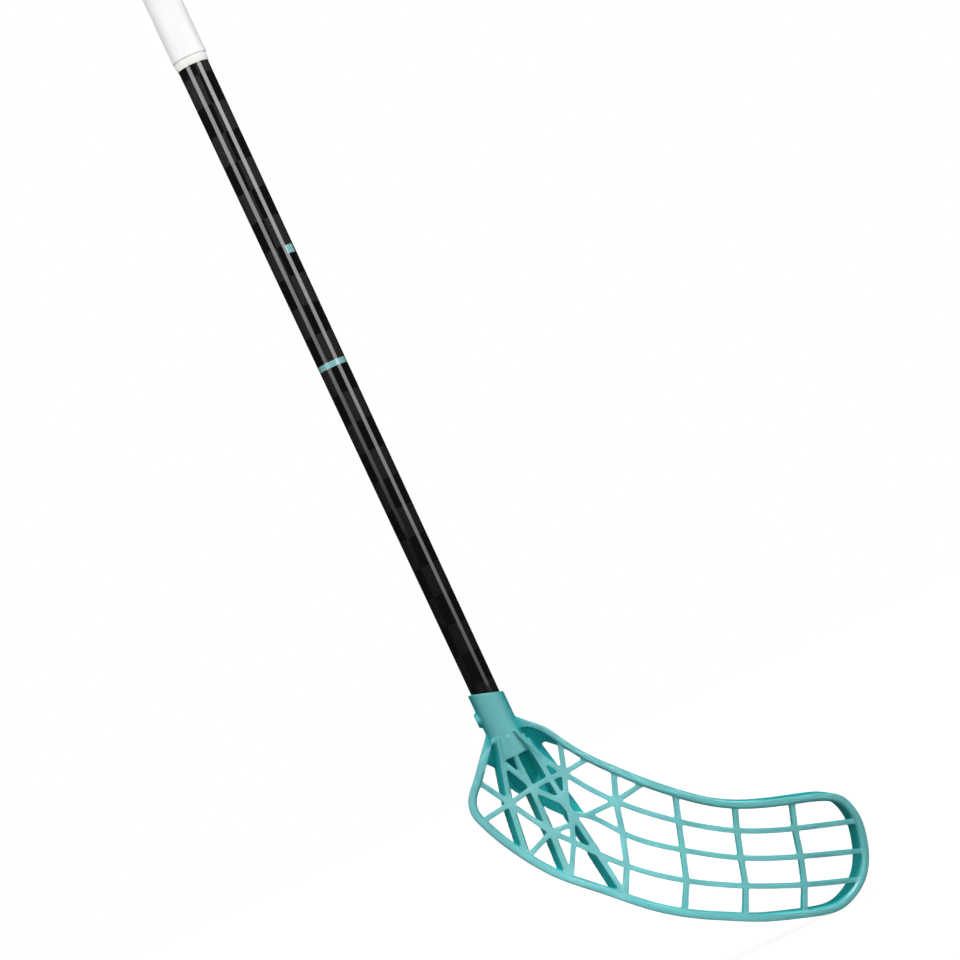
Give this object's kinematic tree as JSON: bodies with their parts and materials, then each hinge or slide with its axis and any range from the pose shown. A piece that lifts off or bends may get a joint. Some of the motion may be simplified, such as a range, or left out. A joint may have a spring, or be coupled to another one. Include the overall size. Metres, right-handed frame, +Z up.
{
  "type": "floorball stick",
  "caption": "Straight tapered shaft with a wrapped hand grip at the top and an open lattice blade, curved away from the viewer, held on the lower end by a cross screw.",
  "frame": {"origin": "on the shaft's axis, at the middle of the hand grip's length", "axes": "+Z up the shaft to the butt end, +X to the blade's tip side, +Y away from the blade's backhand face"},
  "size_m": [0.2618, 0.079, 1.0855],
  "materials": {
    "carbon": "gloss carbon weave",
    "blade_plastic": "satin moulding",
    "screw_steel": "plated",
    "grip": "smooth satin",
    "collar": "satin",
    "tape": "film",
    "cap": "satin"
  },
  "bodies": {
    "stick": {"shaft_tube": "carbon", "blade": "blade_plastic", "grip_base_tape": "tape", "grip_wrap": "grip", "grip_collar": "collar"},
    "screw": {"blade_screw": "screw_steel"},
    "cap": {"butt_cap": "cap"}
  },
  "joints": [
    {"name": "screw_out", "type": "slide", "parent": "stick", "child": "screw", "axis": [-1, 0, 0], "range_m": [0, 0.012]},
    {"name": "cap_out", "type": "slide", "parent": "stick", "child": "cap", "axis": [0, 0, 1], "range_m": [0, 0.03]}
  ]
}
